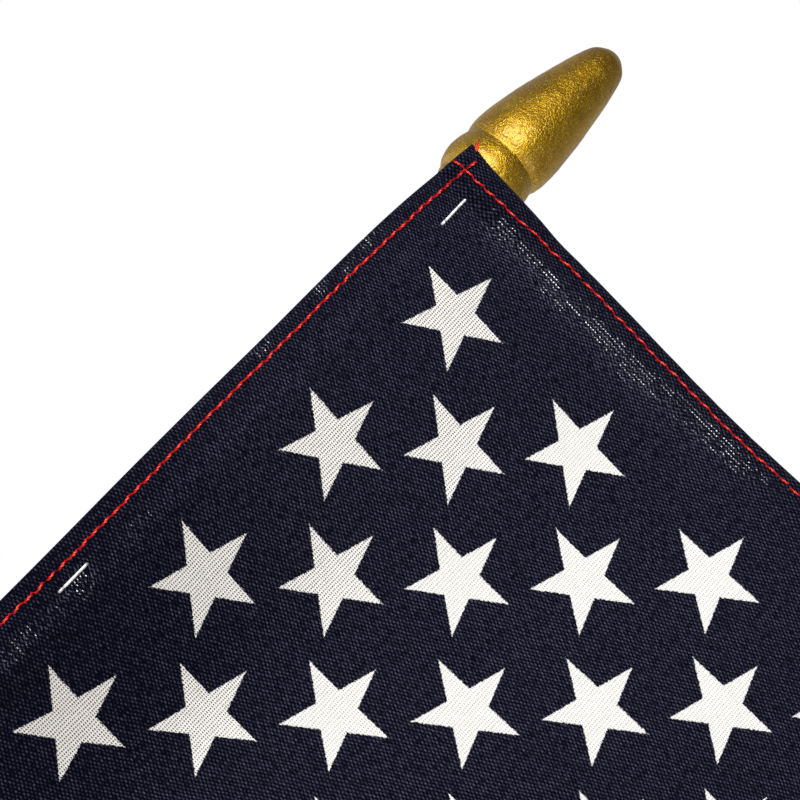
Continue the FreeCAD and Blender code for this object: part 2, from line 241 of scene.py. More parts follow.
class Shader:
    """A material with a Principled surface and short calls for the nodes it needs."""

    def __init__(self, name):
        self.material = bpy.data.materials.new(name)
        self.material.use_nodes = True
        self.tree = self.material.node_tree
        self.surface = next(n for n in self.tree.nodes if n.type == "BSDF_PRINCIPLED")

    def node(self, kind, **inputs):
        """A node with some of its inputs fed."""
        made = self.tree.nodes.new(kind)
        for name, item in inputs.items():
            self.feed(made.inputs[name.replace("_", " ")], item)
        return made

    def feed(self, slot, item):
        """Connects a value to a socket, or sets the socket to a number or a colour."""
        if isinstance(item, Value):
            self.tree.links.new(item.socket, slot)
        elif isinstance(item, bpy.types.NodeSocket):
            self.tree.links.new(item, slot)
        else:
            slot.default_value = item

    def set(self, **inputs):
        """Feeds the inputs of the Principled surface."""
        for name, item in inputs.items():
            self.feed(self.surface.inputs[name.replace("_", " ")], item)

    def coordinates(self):
        """Object coordinates in millimetres, as a vector socket."""
        place = self.node("ShaderNodeTexCoord")
        return self.stretched(place.outputs["Object"], (1 / MM, 1 / MM, 1 / MM))

    def stretched(self, vector, factors):
        """A vector socket scaled along each axis."""
        node = self.node("ShaderNodeVectorMath")
        node.operation = "MULTIPLY"
        self.tree.links.new(vector, node.inputs[0])
        node.inputs[1].default_value = factors
        return node.outputs[0]

    def split(self, vector):
        """The x, y and z of a vector socket."""
        node = self.node("ShaderNodeSeparateXYZ", Vector=vector)
        return [Value(self, node.outputs[k]) for k in range(3)]

    def noise(self, vector, scale, detail=2.0, roughness=0.5):
        """Smooth noise about 0.5, with scale waves to each millimetre."""
        made = self.node("ShaderNodeTexNoise", Vector=vector, Scale=scale, Detail=detail,
                         Roughness=roughness)
        return Value(self, made.outputs[0])

    def attribute(self, name):
        """A number stored for each point of the mesh."""
        made = self.node("ShaderNodeAttribute")
        made.attribute_name = name
        return Value(self, made.outputs["Fac"])

    def chance(self, x, y):
        """A random number for each whole-number pair."""
        pair = self.node("ShaderNodeCombineXYZ", X=x, Y=y)
        made = self.node("ShaderNodeTexWhiteNoise", Vector=pair.outputs[0])
        return Value(self, made.outputs["Value"])

    def mix(self, share, first, second):
        """A colour between two colours."""
        node = self.tree.nodes.new("ShaderNodeMix")
        node.data_type = "RGBA"
        self.feed(node.inputs[0], share)
        for slot, item in zip((node.inputs[6], node.inputs[7]), (first, second)):
            is_socket = isinstance(item, (Value, bpy.types.NodeSocket))
            self.feed(slot, item if is_socket else (*item, 1.0))
        return node.outputs[2]

    def bump(self, height, depth, strength):
        """Relief of the given depth in millimetres."""
        node = self.node("ShaderNodeBump", Height=height, Strength=strength, Distance=depth * MM)
        self.tree.links.new(node.outputs[0], self.surface.inputs["Normal"])


# ---- Printed cotton ---------------------------------------------------------------------------------

# Stars stand in staggered rows, STAR_STEP apart; STAR_WAIST is the inner radius over the outer.
WARP_PITCH = 0.62
WEFT_PITCH = 0.34
HOLE_PITCH = 0.41
STAR_RADIUS = 9.87
STAR_FIRST = (21.2, 24.33)
STAR_STEP = (16.26, 15.69)
STAR_COLUMNS = 11
STAR_ROWS = 9
STAR_WAIST = 0.382
CANTON = (197.5, 166.6)
STRIPE = 23.8
INK_EDGE = 0.16
NO_STAR = 50.0

NAVY = (0.0005, 0.0005, 0.0054)
# Painted highlight colour of the navy yarns' crowns.
NAVY_HIGHLIGHT = (0.058, 0.058, 0.096)
COTTON = (0.86, 0.845, 0.81)
# Painted shade colour for the white cotton: its holes and its low hoist side.
COTTON_SHADE = (0.12, 0.085, 0.06)
STRIPE_RED = (0.50, 0.010, 0.026)
# Painted shade colour of the red in the dips between yarns.
STRIPE_RED_SHADE = (0.10, 0.003, 0.006)
# Painted light: the colour of tiny holes that glow as if light shone through the weave.
PINHOLE_GLOW = (1.0, 1.0, 1.0)


def star_distance(u, v):
    """Signed distance to the nearest star of the staggered rows, negative inside."""
    p = (u - STAR_FIRST[0]) / STAR_STEP[0]
    q = (v - STAR_FIRST[1]) / STAR_STEP[1]
    s = ((p + q) * 0.5).op("ROUND")
    t = ((p - q) * 0.5).op("ROUND")
    column = s + t
    row = s - t
    right = (p - column) * STAR_STEP[0]
    down = (q - row) * STAR_STEP[1]

    # The star is five copies of one half arm, folded about its own axis.
    fifth = TURN / 5
    angle = right.op("ARCTAN2", -down)
    folded = ((angle + fifth / 2).op("FLOORED_MODULO", fifth) - fifth / 2).op("ABSOLUTE")
    far = (right * right + down * down).op("SQRT")
    x = far * folded.op("COSINE")
    y = far * folded.op("SINE")
    waist_x = STAR_RADIUS * STAR_WAIST * math.cos(fifth / 2)
    waist_y = STAR_RADIUS * STAR_WAIST * math.sin(fifth / 2)
    length = math.hypot(STAR_RADIUS - waist_x, waist_y)
    edge = ((x - STAR_RADIUS) * waist_y + y * (STAR_RADIUS - waist_x)) / length

    in_columns = column.within(-0.5, STAR_COLUMNS - 0.5, 0.01)
    in_rows = row.within(-0.5, STAR_ROWS - 0.5, 0.01)
    return edge + (in_columns * in_rows).rest() * NO_STAR


def open_mesh(across, along):
    """The gaps between two sets of yarns, from how squarely a place lies on each."""
    return (across.rest() * (along * -1.35 + 1.0).clamp()).ramp(0.16, 0.72)


def plain_weave(m, place):
    """The yarns at a place: their relief, the gaps between them, and random numbers for each."""
    u, v, _ = m.split(place)
    drift = m.noise(place, 0.12)
    slub = m.noise(m.stretched(place, (3.2, 0.16, 1.0)), 1.0)
    slub_across = m.noise(m.stretched(place, (0.12, 5.0, 1.0)), 1.0)
    warp = (u + drift * 0.5 + slub * 0.16) / WARP_PITCH
    weft = (v + drift * 0.4 + slub_across * 0.10) / WEFT_PITCH
    warp_wave = (warp * math.pi).op("COSINE")
    weft_wave = (weft * math.pi).op("COSINE")
    warp_body = warp_wave * warp_wave
    weft_body = weft_wave * weft_wave
    warp_top = warp_body * (warp_wave.op("SIGN") * weft_wave * 0.45 + 0.55)
    weft_top = weft_body * (weft_wave.op("SIGN") * warp_wave * -0.45 + 0.55)
    hole_row = ((v + drift * 0.5) * (math.pi / HOLE_PITCH)).op("COSINE")
    yarn_of_warp = m.chance(warp.op("ROUND"), 3.0)
    yarn_of_weft = m.chance(7.0, weft.op("ROUND"))
    return SimpleNamespace(
        u=u, v=v, weft=weft,
        relief=warp_top.op("MAXIMUM", weft_top),
        crown=(warp_wave * weft_wave).ramp(-0.30, 1.0),
        row=weft_wave * 0.5 + 0.5,
        gap=open_mesh(warp_body, weft_body),
        holes=open_mesh(warp_body, hole_row * hole_row),
        crossing=m.chance(warp.op("ROUND"), weft.op("ROUND")),
        hole=m.chance(warp.op("FLOOR"), weft.op("FLOOR")),
        yarn=yarn_of_warp * 0.5 + yarn_of_weft * 0.5,
        fibre=m.noise(place, 5.0, 2.0, 0.7),
        near_stick=u.ramp(53.0, 22.0),
    )


def inked_navy(m, place, yarns):
    """Navy ink with painted light: painted highlights on the yarns' crowns in short streaks, and painted
    shade over the low hoist side.
    """
    streak = m.noise(m.stretched(place, (0.75, 2.7, 1.0)), 1.0, 2.0, 0.6).ramp(0.30, 0.72)
    shaded_low_side = yarns.near_stick * yarns.v.ramp(60.0, 110.0)
    # Painted highlight: the crowns of the yarns are painted lighter, in streaks.
    shine = yarns.crown * (yarns.crossing * 0.62 + streak * 0.46 + yarns.yarn * 0.22 + 0.08)
    shine = shine + streak * 0.20 + yarns.row * 0.10 + (yarns.fibre - 0.5) * 0.30 - 0.15
    # Painted shade: the low hoist side is darker, with more contrast.
    shine = (shine + shaded_low_side * (streak * 0.20 - 0.24)) * (shaded_low_side * -0.12 + 1.0)
    # Painted sheen: the sheen attribute brightens the navy beside the hems.
    lustre = m.attribute("sheen") * 0.8 + 0.86
    return m.mix((shine * lustre).clamp(), NAVY, NAVY_HIGHLIGHT)


def bare_cotton(m, yarns):
    """Undyed cotton, with painted shade in the holes of the mesh, strongest where the stick is behind it,
    and painted shade over the low hoist side.
    """
    # Painted shade seen through the holes in the weave.
    painted_shade = yarns.holes * (yarns.hole * 0.45 + 0.8) * (yarns.near_stick * 1.30 + 0.52)
    painted_shade = painted_shade + (yarns.fibre - 0.5) * 0.10 - yarns.yarn * 0.05
    # Painted shade: darker near the stick and towards the low hoist side.
    painted_shade = painted_shade + yarns.near_stick * (yarns.v.ramp(50.0, 110.0) * 0.14 + 0.08)
    return m.mix(painted_shade.clamp(), COTTON, COTTON_SHADE)


def pinhole_glow(m, yarns):
    """Painted light: tiny holes that glow, in every second row of gaps, where the cloth is pulled open.
    """
    painted_glint = m.attribute("glint")
    pair = (yarns.weft * 0.5).op("FLOOR")
    stretch = (yarns.u * 0.12 + m.chance(pair, 5.0) * 40.0).op("FLOOR")
    second_row = yarns.weft.op("FLOOR").op("FLOORED_MODULO", 2.0)
    glint_row = m.chance(pair, stretch).ramp(-0.10, 0.70) * second_row
    glint_share = (yarns.hole * 1.2 + painted_glint).ramp(0.60, 1.75) * painted_glint.ramp(0.03, 0.22)
    return yarns.gap.ramp(0.30, 0.90) * glint_row * glint_share


def printed_cotton():
    """Plain-weave cotton with a printed canton and stripes, drawn in the cloth's own millimetres."""
    m = Shader("printed_cotton")
    uv = m.tree.nodes.new("ShaderNodeUVMap")
    uv.uv_map = "print"
    place = m.stretched(uv.outputs[0], (1 / MM, 1 / MM, 0.0))
    yarns = plain_weave(m, place)
    navy = inked_navy(m, place, yarns)
    white = bare_cotton(m, yarns)
    # Painted shade: the red is darker where the yarns dip, lighter on their tops.
    red_share = (yarns.relief * 0.85 + (yarns.crossing - 0.5) * 0.35).clamp()
    red = m.mix(red_share, STRIPE_RED_SHADE, STRIPE_RED)

    # The ink bleeds a little along the yarns, so no printed edge is quite straight.
    bleed = (m.noise(m.stretched(place, (1.6, 3.0, 1.0)), 1.0, 1.0) - 0.5) * 0.9
    u = yarns.u + bleed
    v = yarns.v + bleed
    in_star = ((star_distance(yarns.u, yarns.v) + bleed * 0.6) * (-1 / INK_EDGE) + 0.5).clamp()
    in_red = (v / (2 * STRIPE)).op("FRACT").within(0.0, 0.5, 0.004)
    in_canton = u.ramp(CANTON[0] + INK_EDGE, CANTON[0] - INK_EDGE)
    in_canton = in_canton * v.ramp(CANTON[1] + INK_EDGE, CANTON[1] - INK_EDGE)
    colour = m.mix(in_canton, m.mix(in_red, white, red), m.mix(in_star, navy, white))
    colour = m.mix(m.attribute("back") * 0.04, colour, COTTON)

    # Painted light: the tiny holes take a pale colour and glow, as light shining through the weave.
    holes = pinhole_glow(m, yarns)
    m.set(Base_Color=m.mix(holes, colour, PINHOLE_GLOW), Roughness=0.80, Specular_IOR_Level=0.05,
          Sheen_Weight=0.02, Sheen_Roughness=0.45, Sheen_Tint=(0.75, 0.78, 1.0, 1.0),
          Emission_Color=(1.0, 0.99, 0.96, 1.0), Emission_Strength=holes * 0.34)
    m.bump(yarns.relief + yarns.fibre * 0.35 - yarns.gap * 0.4, 0.07, 0.8)
    return m.material


# ---- Other materials --------------------------------------------------------------------------------

# Thread colours: painted shade, lit red and painted highlight.
THREAD_SHADE = (0.13, 0.001, 0.001)
THREAD_RED = (0.86, 0.004, 0.002)
THREAD_GLOSS = (1.0, 0.26, 0.17)
GOLD_DEEP = (0.392, 0.208, 0.003)
GOLD_LIGHT = (0.525, 0.304, 0.007)
GOLD_FLAKE = (0.70, 0.53, 0.15)
# Dark colour of wear and pits, also used for the painted shade on the nose.
GOLD_WEAR_AND_SHADE = (0.14, 0.075, 0.002)
PALE_WOOD = (0.80, 0.62, 0.39)
PALE_GRAIN = (0.56, 0.37, 0.18)
DARK_WOOD = (0.105, 0.036, 0.014)
DARK_GRAIN = (0.030, 0.010, 0.005)
BRASS = (0.78, 0.55, 0.20)
BRIGHT_WIRE = (0.95, 0.95, 0.93)
ZINC_STEEL = (0.62, 0.62, 0.62)
BLACK_STEEL = (0.35, 0.35, 0.36)
FELT_DARK = (0.006, 0.030, 0.016)
FELT_GREEN = (0.018, 0.075, 0.042)
NYLON_DARK = (0.012, 0.012, 0.013)
NYLON_PALE = (0.028, 0.028, 0.030)


def sewing_thread():
    """Two-ply red thread with painted light: a painted highlight where a stitch stands up and faces
    forward, painted shade where it dives into the cloth.
    """
    m = Shader("red_thread")
    fibre = m.noise(m.coordinates(), 9.0, 3.0, 0.7)
    normal = m.node("ShaderNodeTexCoord").outputs["Normal"]
    facing = m.split(normal)[1].op("ABSOLUTE")
    crest = m.attribute("crest")
    # Painted light: the forward-facing side and the top of each stitch are painted lighter, the rest is
    # painted shade.
    lit = (facing.ramp(0.35, 1.0) * 0.75 + crest * 0.40 + fibre * 0.30 - 0.30).clamp()
    # Painted highlight on the forward-facing tops of the stitches.
    gloss = facing.ramp(0.80, 1.0) * crest.ramp(0.40, 1.0) * 0.75
    red = m.mix(lit, THREAD_SHADE, THREAD_RED)
    m.set(Base_Color=m.mix(gloss, red, THREAD_GLOSS), Roughness=0.42, Specular_IOR_Level=0.14)
    m.bump(fibre, 0.05, 0.7)
    return m.material


def gold_paint():
    """Metallic gold paint over turned wood, with flakes, pits and patches of wear, and painted shade that
    darkens the nose.
    """
    m = Shader("gold_paint")
    place = m.coordinates()
    grain = m.noise(m.stretched(place, (1.0, 1.0, 0.6)), 2.1, 2.0, 0.6)
    cloud = m.noise(place, 0.16, 3.0)
    speck = m.noise(place, 3.2, 1.0, 0.6)
    pits = m.noise(m.stretched(place, (1.0, 1.0, 0.7)), 2.4, 2.0, 0.6).ramp(0.60, 0.72)
    # Painted shade: darker towards the end of the nose.
    nose_shade = m.split(place)[2].ramp(NECK_Z + 22.0, NECK_Z + 31.0)
    base = m.mix(cloud.ramp(0.32, 0.68), GOLD_DEEP, GOLD_LIGHT)
    light = m.mix(speck.ramp(0.54, 0.76), base, GOLD_FLAKE)
    # Wear, pits and the painted shade of the nose share one dark colour.
    wear_and_shade = (grain.ramp(0.52, 0.74) * 0.45 + pits * 0.5 + nose_shade * 0.36).clamp()
    m.set(Base_Color=m.mix(wear_and_shade, light, GOLD_WEAR_AND_SHADE), Metallic=1.0,
          Roughness=speck * 0.10 + 0.37, Coat_Weight=0.28, Coat_IOR=1.7, Coat_Roughness=0.26)
    m.bump(speck + grain - pits * 0.5, 0.11, 0.9)
    return m.material


def wood(name, light, dark, ring, roughness, coat, pore):
    """Wood with grain along Z: ring is how tight its rings are, pore how dark its pores."""
    m = Shader(name)
    place = m.coordinates()
    x, y, _ = m.split(place)
    bend = m.noise(m.stretched(place, (0.06, 0.06, 0.006)), 1.0)
    ripple = m.noise(m.stretched(place, (0.4, 0.4, 0.02)), 1.0)
    rings = (x + bend * 14.0) * ring + y * 0.35 + ripple * 1.6
    band = (rings * math.pi).op("SINE") * 0.5 + 0.5
    fibres = m.noise(m.stretched(place, (2.4, 2.4, 0.045)), 1.0, 4.0, 0.65)
    pores = m.noise(m.stretched(place, (5.0, 5.0, 0.16)), 1.0, 2.0, 0.6).ramp(0.60, 0.74)
    tone = m.mix((band * 0.45 + fibres * 0.75 - 0.12).clamp(), light, dark)
    colour = m.mix(pores * pore, tone, tuple(c * 0.35 for c in dark))
    m.set(Base_Color=colour, Roughness=fibres * 0.2 + roughness, Coat_Weight=coat,
          Coat_Roughness=0.12)
    m.bump(fibres * 0.5 - pores, 0.06, 0.5)
    return m.material


def metal(name, colour, roughness, brush):
    """Metal with fine marks; brush is how close together they lie along each axis."""
    m = Shader(name)
    place = m.coordinates()
    marks = m.noise(m.stretched(place, brush), 1.0, 3.0, 0.7)
    smudge = m.noise(place, 0.25, 3.0)
    shade = m.mix(smudge.ramp(0.35, 0.7), tuple(c * 0.78 for c in colour), colour)
    m.set(Base_Color=shade, Metallic=1.0, Roughness=marks * 0.12 + smudge * 0.10 + roughness)
    m.bump(marks, 0.015, 0.5)
    return m.material


def felt():
    """Pressed green felt: matted fibres with a fuzzy sheen."""
    m = Shader("felt")
    matted = m.noise(m.coordinates(), 2.2, 5.0, 0.75)
    colour = m.mix(matted.ramp(0.3, 0.7), FELT_DARK, FELT_GREEN)
    m.set(Base_Color=colour, Roughness=0.95, Sheen_Weight=0.5, Sheen_Roughness=0.6)
    m.bump(matted, 0.3, 0.8)
    return m.material


def nylon():
    """Black moulded nylon with a fine spark-eroded texture."""
    m = Shader("bush_nylon")
    pits = m.noise(m.coordinates(), 4.0, 3.0, 0.7)
    m.set(Base_Color=m.mix(pits, NYLON_DARK, NYLON_PALE), Roughness=pits * 0.2 + 0.38)
    m.bump(pits, 0.05, 0.5)
    return m.material


cotton = printed_cotton()
thread_red = sewing_thread()
gold = gold_paint()
stick_wood = wood("stick_wood", PALE_WOOD, PALE_GRAIN, ring=0.9, roughness=0.55, coat=0.0, pore=0.35)
base_wood = wood("base_wood", DARK_WOOD, DARK_GRAIN, ring=0.30, roughness=0.28, coat=0.6, pore=0.7)
brass = metal("socket_brass", BRASS, roughness=0.16, brush=(0.4, 0.4, 6.0))
staple_wire = metal("staple_wire", BRIGHT_WIRE, roughness=0.42, brush=(6.0, 6.0, 0.5))
screw_steel = metal("screw_steel", ZINC_STEEL, roughness=0.3, brush=(3.0, 3.0, 3.0))
ballast_steel = metal("ballast_steel", BLACK_STEEL, roughness=0.42, brush=(0.5, 0.5, 3.0))
green_felt = felt()
bush_nylon = nylon()

# ---- Cloth shape ------------------------------------------------------------------------------------

SKEW = math.radians(2.15)
HEM_WIDTH = 6.0
HEM_FOLD = 0.9
EDGE_ROUND = 0.9
CLOTH = 0.3
STAPLE_STEP = 91.5
LIFT = 4.75
LIFT_REACH = 7.4
STICK_CLEAR = STICK_RADIUS + CLOTH + 0.25
NO_LIMIT = 40.0
NORMAL_STEP = 0.25


def edge_distance(u, v):
    """Distance to the nearest edge of the cloth."""
    return np.minimum(np.minimum(u, v), np.minimum(FLAG_LENGTH - u, FLAG_HEIGHT - v))


def edge_rounding(u, v):
    """1 at the very edge of the cloth, where it folds back, and 0 a little inside."""
    return np.clip(1 - edge_distance(u, v) / EDGE_ROUND, 0, 1) ** 2


def hang(u, v):
    """How far the hanging cloth stands forward: waves near the stick, others further out."""
    held = 1 - np.exp(-np.maximum(u - 8, 0) / 12)
    near = 2.6 * wave(u - 19.9 + 0.257 * v, 100) - 2.67
    lean = -7.6 * np.tanh(v / 90) - 0.013 * np.minimum(u, 120)
    far = 9.0 * wave(u - 133 + 0.30 * v, 148) + 3.2 * wave(u - 6.4 + 0.65 * v, 71)
    far += 4.0 * wave(v - 122 + 0.2 * u, 330)
    far_share = ease(u, 90, 260)
    sag = 2.2 * wave(v - 14.2 + 0.15 * u, STAPLE_STEP) * ease(v, 90, 170) * ease(u, 10, 60)
    sag *= 1 - far_share * 0.5
    return held * ((near + lean) * (1 - 0.55 * far_share) + far * far_share + sag)


def bead_lift(u, v):
    """How far the bead of the tip pushes the corner forward."""
    rise = np.sin(np.clip((LIFT_REACH - v) / LIFT_REACH, 0, 1) * TURN / 4)
    spread = rise * (1 - ease(u, 10, 27.5))
    shoulder = 0.5 * bell(u, 12, 9) * np.exp(-np.maximum(v - 4, 0) / 7)
    return LIFT * spread + shoulder * (1 - spread)


def seam_pucker(along, inside):
    """Ripples that a seam draws into the hem beside it."""
    slow = np.sin(along * 0.71 + 1.3 * np.sin(along * 0.19))
    quick = np.sin(along * 1.9 + 2.0 * np.sin(along * 0.31))
    return 0.11 * (slow + 0.5 * quick) * bell(inside, 3.4, 3.6)


def hem_relief(u, v):
    """How far the folded hem stands forward of the single cloth."""
    from_top = np.minimum(v, FLAG_HEIGHT - v)
    from_hoist = np.minimum(u, FLAG_LENGTH - u)
    edge = edge_distance(u, v)
    pucker = seam_pucker(u, from_top) + seam_pucker(v + 40, from_hoist)
    step = 0.34 * (1 - ease(edge, HEM_WIDTH - 0.7, HEM_WIDTH + 0.5))
    groove = 0.12 * bell(edge, HEM_WIDTH + 1.6, 1.2)
    return pucker + step - groove - 0.42 * edge_rounding(u, v)


def hoist_drift(u, v):
    """How far the hoist edge strays towards the fly from a straight line."""
    long_bow = 5.35 * np.tanh(v / 125) - 4.85 * ease(v, 115, 270)
    corner = 3.65 * np.exp(-v / 14 - u / 15) - 0.75 * np.exp(-v / 4.5 - u / 8)
    bulge = 0.24 * ease(v, 3, 9) * (1 - ease(v, 45, 70)) - 0.2 * bell(v, 84, 18)
    return long_bow + corner + bulge * np.exp(-u / 6)


def top_dip(u, v):
    """How far the top edge dips below a straight line."""
    dip = 1.85 * wave(u, 200) * np.exp(-u / 260) + 0.27 * wave(u - 30, 60) * np.exp(-u / 60)
    dip += 1.13 * bell(u, 11, 9) - 0.26 * ease(u, 4, 14) - 0.14 * bell(u, 112, 20)
    return dip * np.exp(-v / 15)


def over_stick(x):
    """The furthest back the face can lie at x, where the stick is behind it."""
    across = np.clip(np.abs(x) / STICK_CLEAR, 0, 1)
    return -STICK_CLEAR * np.sqrt(1 - across ** 2) + NO_LIMIT * (across >= 1)


def face_point(u, v):
    """Points of the printed face at cloth coordinates (u, v)."""
    u, v = np.broadcast_arrays(np.asarray(u, float), np.asarray(v, float))
    slack = 1.09 * np.sin(math.pi * v / 132.5)
    x = HOIST_X - 1.29 + u * math.cos(SKEW) + hoist_drift(u, v)
    y = FACE_Y + 0.3 - hang(u, v) - bead_lift(u, v) - hem_relief(u, v)
    z = CLOTH_TOP + 0.99 + slack - v + u * math.tan(SKEW) - 3.0e-7 * u ** 3 - top_dip(u, v)
    return np.stack([x, np.minimum(y, over_stick(x)), z], -1)


def face_normal(u, v):
    """Unit normals of the printed face, towards the viewer."""
    along = face_point(u + NORMAL_STEP, v) - face_point(u - NORMAL_STEP, v)
    down = face_point(u, v + NORMAL_STEP) - face_point(u, v - NORMAL_STEP)
    normal = np.cross(down, along)
    normal *= np.sign(-normal[..., 1:2])
    return normal / np.linalg.norm(normal, axis=-1, keepdims=True)


def cloth_coordinates(x, z):
    """The cloth coordinates of the place on the face that covers (x, z), near the hoist."""
    u = np.full_like(z, 8.0)
    v = CLOTH_TOP - z
    for _ in range(4):
        place = face_point(u, v)
        u = u + x - place[..., 0]
        v = v + place[..., 2] - z
    return u, v


# ---- Cloth ------------------------------------------------------------------------------------------

FINE_GRID = 0.6
COARSE_GRID = 2.05
FINE_ZONE = 8.0
# Places where painted light shows through: needle pricks beside the hoist seam as (u, v), and (v,
# strength) along it.
PRICKS = ((0.9, 26.0), (2.2, 32.0), (1.1, 39.6), (1.1, 54.0))
HOIST_GLINTS = ((104, 1.0), (116, 0.8), (90, 0.5))


def graded(length):
    """Grid lines from 0 to length, fine near both ends."""
    ends = np.arange(0, FINE_ZONE, FINE_GRID)
    steps = int((length - 2 * FINE_ZONE) / COARSE_GRID)
    middle = np.linspace(FINE_ZONE, length - FINE_ZONE, steps + 1)
    return np.concatenate([ends, middle, length - ends[::-1]])


def sheet_faces(rows, columns):
    """Faces of two grids of points, the face and the back, joined round the rim."""
    count = rows * columns
    faces = grid_faces(rows, columns) + grid_faces(rows, columns, start=count, flip=True)
    top = np.arange(columns)
    fly = np.arange(1, rows) * columns + columns - 1
    bottom = (rows - 1) * columns + np.arange(columns - 2, -1, -1)
    hoist = np.arange(rows - 2, 0, -1) * columns
    rim = np.concatenate([top, fly, bottom, hoist]).tolist()
    for a, b in zip(rim, rim[1:] + rim[:1]):
        faces.append([b, a, a + count, b + count])
    return faces


def map_print(mesh, u, v):
    """Cloth coordinates as a UV map; the print has slipped a little at the second staple."""
    slip = 1.2 * bell(v, 118, 22) * (1 - ease(u, 20, 60))
    flat = np.stack([(u - slip).ravel(), v.ravel()], -1) * MM
    both_sides = np.concatenate([flat, flat])
    corner = np.zeros(len(mesh.loops), int)
    mesh.loops.foreach_get("vertex_index", corner)
    layer = mesh.uv_layers.new(name="print")
    layer.data.foreach_set("uv", both_sides[corner].astype(np.float32).ravel())


def pinhole_light_mask(u, v):
    """Where tiny holes glow with painted light: along the seams, where the weave is pulled open."""
    along_top = 0.4 * ease(u, 9, 16) + 0.6 * ease(u, 20, 30)
    along_top *= (1 - 0.25 * ease(u, 38, 56)) * (1 - ease(u, 70, 88))
    level = 5.4 + 0.9 * bell(u, 33, 16) - 1.4 * ease(u, 54, 66)
    top_band = (bell(v, level, 0.80) + 0.35 * bell(v, level + 1.9, 1.2)) * along_top
    spots = sum(share * bell(v, at_v, 4) for at_v, share in HOIST_GLINTS)
    hoist_band = 0.42 * bell(u, 7.2, 1.6) * spots
    pricks = sum(bell(u, at_u, 0.9) * bell(v, at_v, 1.6) for at_u, at_v in PRICKS)
    return np.clip(top_band + hoist_band + 0.6 * pricks, 0, 1)


def painted_sheen(u, v):
    """Painted sheen: where the navy is painted brighter, beside the hems and over the middle of the
    canton, and where it is duller, on the hems.
    """
    beside_top = 0.75 * bell(v, 8.2, 2.8) * ease(u, 6, 20) * (1 - ease(u, 50, 90))
    beside_hoist = 0.35 * bell(u, 7.9, 1.5) * ease(v, 10, 25) * (1 - ease(v, 150, 200))
    middle_sheen = 0.12 * bell(u, 65, 40) * bell(v, 55, 50)
    on_hem = 0.22 * (1 - ease(edge_distance(u, v), HEM_WIDTH - 1, HEM_WIDTH))
    return beside_top + beside_hoist + middle_sheen - on_hem


def flag_cloth():
    """The whole sheet: printed face, back with folded hems, and the folded edges between them."""
    u, v = np.meshgrid(graded(FLAG_LENGTH), graded(FLAG_HEIGHT))
    hem = 1 - ease(edge_distance(u, v), HEM_WIDTH - 0.7, HEM_WIDTH)
    thick = (CLOTH + (HEM_FOLD - CLOTH) * hem) * (1 - 0.55 * edge_rounding(u, v))
    front = face_point(u, v)
    back = front - face_normal(u, v) * thick[..., None]
    points = np.concatenate([front.reshape(-1, 3), back.reshape(-1, 3)])
    piece = make_piece("flag_cloth", points, sheet_faces(*u.shape), cotton)
    map_print(piece.data, u, v)
    store(piece, "back", np.repeat([0.0, 1.0], u.size))
    # glint: where the painted light through the holes shows.
    store(piece, "glint", np.tile(pinhole_light_mask(u, v).ravel(), 2))
    # sheen holds the painted sheen of the navy.
    store(piece, "sheen", np.tile(painted_sheen(u, v).ravel(), 2))
    return piece


# ---- Stitching --------------------------------------------------------------------------------------

# For each seam: stitch length, lean of a stitch to each side, and thread size.
STITCHES = {
    "top": (2.8, 0.10, 0.225),
    "bottom": (2.8, 0.10, 0.225),
    "hoist": (2.45, 0.11, 0.262),
    "fly": (2.45, 0.10, 0.24),
}
# LYING is the share of a stitch that lies on the cloth; the plies turn once in PLY_TWIST.
STITCH_RINGS = 10
PLY_SIDES = 7
PLY_TWIST = 1.5
LYING = 0.74
# How much single stitches differ in slant, in height and in place along the seam.
LOOSENESS = (0.055, 0.03, 0.10)
# A few stitches are pulled down deep, the others dive only a little.
DEEP_SHARE = 0.10
DEEP_DIVE = 1.4
SHALLOW_DIVE = 0.28
TAIL_RINGS = 14
TAIL_REACH = np.array([-0.93, -0.45, 1.575])
TAIL_SIDE = np.array([0.6, 0.0, 0.5])
TAIL_SPREAD = 0.17
TAIL_PLY_RADIUS = 0.19
TAIL_GLOSS = 0.7


def tube(path, side, lift, radius, sides):
    """Points and faces of a closed tube along a path, given its two cross directions."""
    angle = np.arange(sides) * TURN / sides
    across = side[:, None, :] * np.cos(angle)[None, :, None]
    upward = lift[:, None, :] * np.sin(angle)[None, :, None]
    reach = np.broadcast_to(radius, len(path))[:, None, None]
    points = path[:, None, :] + (across + upward) * reach
    return points.reshape(-1, 3), capped_tube_faces(len(path), sides)


def gather(parts):
    """Several (points, faces) pairs as one."""
    points = []
    faces = []
    start = 0
    for part_points, part_faces in parts:
        points.append(part_points)
        faces += [[start + k for k in face] for face in part_faces]
        start += len(part_points)
    return np.concatenate(points), faces


def tangents(path):
    """Unit directions along a path."""
    steps = np.gradient(path, axis=0)
    return steps / np.linalg.norm(steps, axis=1)[:, None]


